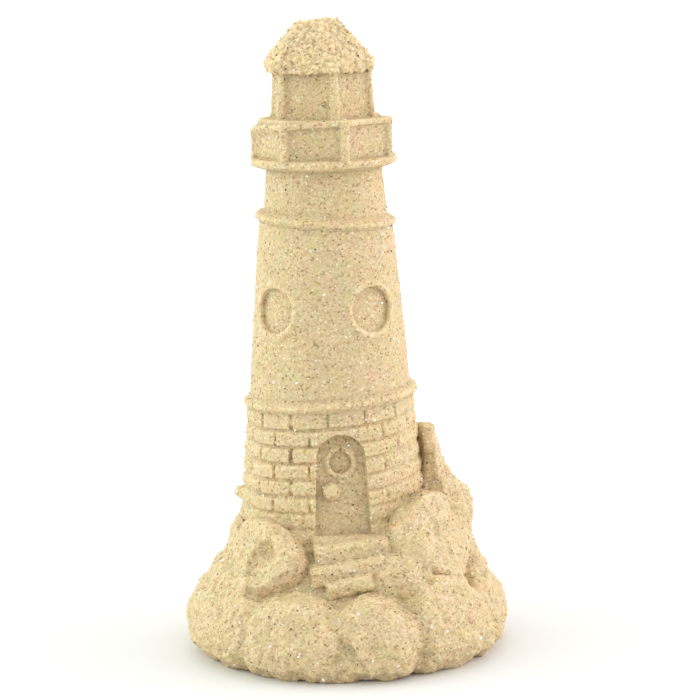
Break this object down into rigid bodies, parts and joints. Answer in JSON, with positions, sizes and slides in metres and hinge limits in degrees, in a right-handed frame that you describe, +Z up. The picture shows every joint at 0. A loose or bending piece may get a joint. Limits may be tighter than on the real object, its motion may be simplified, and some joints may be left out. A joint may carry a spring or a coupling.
{
  "type": "lighthouse figurine",
  "caption": "Small ornament of resin-bound sand: a tapered brick-footed lighthouse with arched door, gallery, lantern and hipped roof, standing on a heap of rocks.",
  "frame": {"origin": "middle of the bounding box at the flat underside", "axes": "+Z up along the tower, -Y towards the door, +X to the right of someone who faces the door"},
  "size_m": [0.0588, 0.0588, 0.1143],
  "materials": {
    "tower_sand": "resin-bound fine beach sand, matt and gritty",
    "rock_sand": "resin-bound fine beach sand, matt and gritty",
    "roof_sand": "resin-bound sand in coarse clumps, matt and rough"
  },
  "bodies": {
    "root": {"brick_drum": "tower_sand", "crag_shoulder": "rock_sand", "crag_spire": "rock_sand", "door_knob": "tower_sand", "door_leaf": "tower_sand", "door_window_rim": "tower_sand", "gallery_deck": "tower_sand", "lantern_mullions": "tower_sand", "lantern_room": "tower_sand", "lower_belt": "tower_sand", "mound": "rock_sand", "neck": "tower_sand", "parapet_posts": "tower_sand", "parapet_rail": "tower_sand", "parapet_wall": "tower_sand", "rock_back_left": "rock_sand", "rock_back_right": "rock_sand", "rock_front_left": "rock_sand", "rock_front_right": "rock_sand", "rock_front_wedge": "rock_sand", "rock_left": "rock_sand", "rock_left_back": "rock_sand", "rock_lumps_right": "rock_sand", "rock_right": "rock_sand", "rock_right_back": "rock_sand", "rock_upper_left": "rock_sand", "rock_upper_left_back": "rock_sand", "rock_upper_right": "rock_sand", "rock_upper_right_back": "rock_sand", "roof_cap": "roof_sand", "stair_slab_lower": "rock_sand", "stair_slab_middle": "rock_sand", "stair_slab_upper": "rock_sand", "tower_shaft": "tower_sand", "upper_belt": "tower_sand", "window_panes": "tower_sand"}
  },
  "joints": []
}
